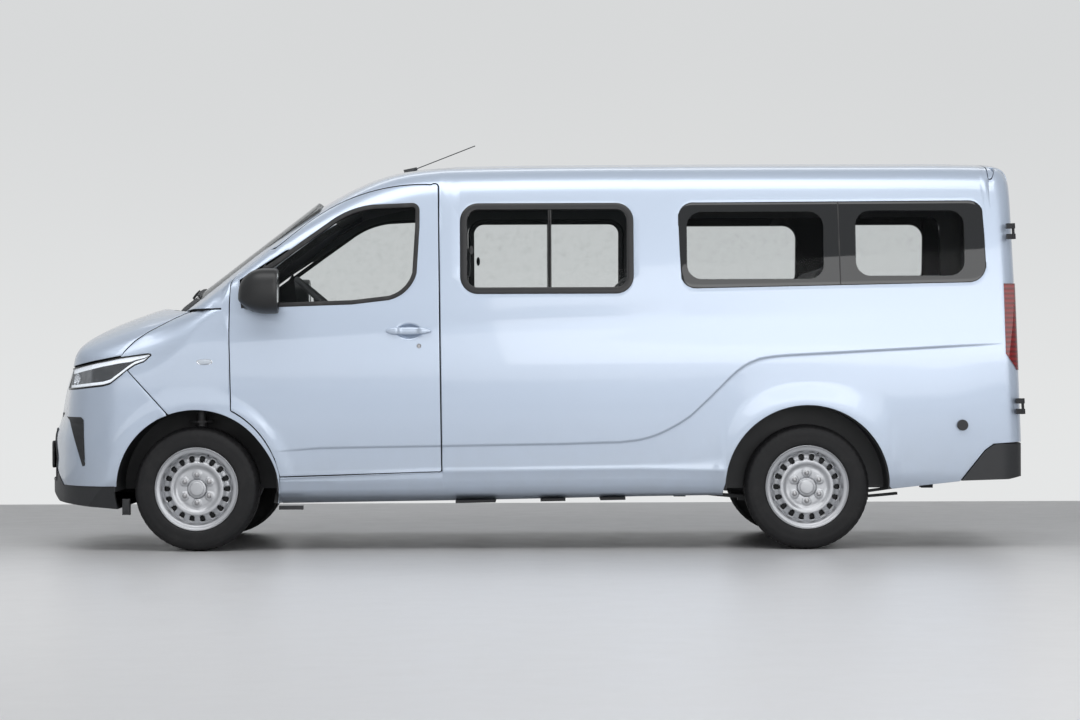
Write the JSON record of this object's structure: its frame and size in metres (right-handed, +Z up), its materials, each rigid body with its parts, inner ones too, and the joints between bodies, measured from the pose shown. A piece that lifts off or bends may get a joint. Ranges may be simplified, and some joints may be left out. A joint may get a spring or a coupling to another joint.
{
  "type": "minibus",
  "caption": "Long low-roof passenger van with sloping nose, hinged front doors, sliding side door, twin rear doors with windows, seats and steel wheels.",
  "frame": {"origin": "on the ground, below the middle of the bounding box", "axes": "+X forward, +Y to the vehicle's left, +Z up"},
  "size_m": [4.985, 2.23, 2.0832],
  "materials": {
    "body_paint": "metallic gloss",
    "black_plastic": "grained",
    "lamp_clear": "clear lens",
    "lamp_red": "red lens",
    "glazing": "polished",
    "underbody": "satin",
    "chassis_black": "satin",
    "battery_case": "satin",
    "rail_steel": "brushed",
    "cast_parts": "as cast",
    "cabin_plastic": "grained",
    "seat_cloth": "woven",
    "rubber_tyre": "moulded",
    "wheel_silver": "silver paint"
  },
  "bodies": {
    "body": {"body_side_left": "body_paint", "body_side_right": "body_paint", "roof_panel": "body_paint", "rear_header": "body_paint", "cowl_and_firewall": "underbody", "front_fenders": "body_paint", "front_bumper": "body_paint", "front_lip": "black_plastic", "front_grilles": "black_plastic", "head_lamps": "lamp_clear", "tail_lamps": "lamp_red", "rear_bumper": "black_plastic", "windscreen": "glazing", "side_glass": "glazing", "sliding_door": "body_paint", "sliding_door_glass": "glazing", "floor_pan": "underbody", "chassis_frame": "chassis_black", "battery_pack": "battery_case", "battery_straps": "chassis_black", "front_suspension": "chassis_black", "rear_axle": "chassis_black", "leaf_springs": "chassis_black", "wheel_arch_liners": "black_plastic", "dashboard": "cabin_plastic", "front_seats": "seat_cloth", "rear_seats": "seat_cloth", "seat_frames": "chassis_black", "front_door_hinges": "chassis_black", "rear_door_hinges": "chassis_black", "antenna": "black_plastic", "wipers": "black_plastic", "door_stops": "black_plastic", "sliding_rail": "rail_steel", "side_repeaters": "black_plastic"},
    "hood": {"hood": "body_paint"},
    "front_door_left": {"front_door_left": "body_paint", "front_door_glass_left": "glazing", "mirror_left": "black_plastic"},
    "front_door_right": {"front_door_right": "body_paint", "front_door_glass_right": "glazing", "mirror_right": "black_plastic"},
    "rear_door_left": {"rear_door_left": "body_paint", "rear_door_glass_left": "glazing"},
    "rear_door_right": {"rear_door_right": "body_paint", "rear_door_glass_right": "glazing"},
    "knuckle_left": {"knuckle_left": "cast_parts"},
    "knuckle_right": {"knuckle_right": "cast_parts"},
    "wheel_front_left": {"tyre_front_left": "rubber_tyre", "wheel_front_left": "wheel_silver"},
    "wheel_front_right": {"tyre_front_right": "rubber_tyre", "wheel_front_right": "wheel_silver"},
    "wheel_rear_left": {"tyre_rear_left": "rubber_tyre", "wheel_rear_left": "wheel_silver"},
    "wheel_rear_right": {"tyre_rear_right": "rubber_tyre", "wheel_rear_right": "wheel_silver"},
    "steering_wheel": {"steering_wheel": "cabin_plastic"}
  },
  "joints": [
    {"name": "hood_lid", "type": "hinge", "parent": "body", "child": "hood", "pos_m": [1.672, 0, 1.196], "axis": [0, -1, 0], "range_deg": [0, 45]},
    {"name": "front_door_left_swing", "type": "hinge", "parent": "body", "child": "front_door_left", "pos_m": [1.45, 0.88, 0.92], "axis": [0, 0, -1], "range_deg": [0, 65]},
    {"name": "front_door_right_swing", "type": "hinge", "parent": "body", "child": "front_door_right", "pos_m": [1.45, -0.88, 0.92], "axis": [0, 0, 1], "range_deg": [0, 65]},
    {"name": "rear_door_left_swing", "type": "hinge", "parent": "body", "child": "rear_door_left", "pos_m": [-2.447, 0.914, 0.713], "axis": [-0.0423, 0.0549, -0.9976], "range_deg": [0, 255]},
    {"name": "rear_door_right_swing", "type": "hinge", "parent": "body", "child": "rear_door_right", "pos_m": [-2.447, -0.914, 0.713], "axis": [0.0423, 0.0549, 0.9976], "range_deg": [0, 255]},
    {"name": "steer_left", "type": "hinge", "parent": "body", "child": "knuckle_left", "pos_m": [1.669, 0.585, 0.8], "axis": [0, -0.1696, 0.9855], "range_deg": [-33, 33]},
    {"name": "steer_right", "type": "hinge", "parent": "body", "child": "knuckle_right", "pos_m": [1.669, -0.585, 0.8], "axis": [0, 0.1696, 0.9855], "range_deg": [-33, 33]},
    {"name": "wheel_front_left_spin", "type": "hinge", "parent": "knuckle_left", "child": "wheel_front_left", "pos_m": [1.669, 0.7525, 0.312], "axis": [0, 1, 0], "continuous": true},
    {"name": "wheel_front_right_spin", "type": "hinge", "parent": "knuckle_right", "child": "wheel_front_right", "pos_m": [1.669, -0.7525, 0.312], "axis": [0, 1, 0], "continuous": true},
    {"name": "wheel_rear_left_spin", "type": "hinge", "parent": "body", "child": "wheel_rear_left", "pos_m": [-1.381, 0.7525, 0.312], "axis": [0, 1, 0], "continuous": true},
    {"name": "wheel_rear_right_spin", "type": "hinge", "parent": "body", "child": "wheel_rear_right", "pos_m": [-1.381, -0.7525, 0.312], "axis": [0, 1, 0], "continuous": true},
    {"name": "steering_wheel_turn", "type": "hinge", "parent": "body", "child": "steering_wheel", "pos_m": [1.057, 0.4, 1.25], "axis": [-0.6521, 0, 0.7581], "range_deg": [-495, 495]}
  ],
  "couplings": [
    {"joint": "steer_right", "follows": "steer_left", "ratio": 1},
    {"joint": "steering_wheel_turn", "follows": "steer_left", "ratio": 15}
  ]
}
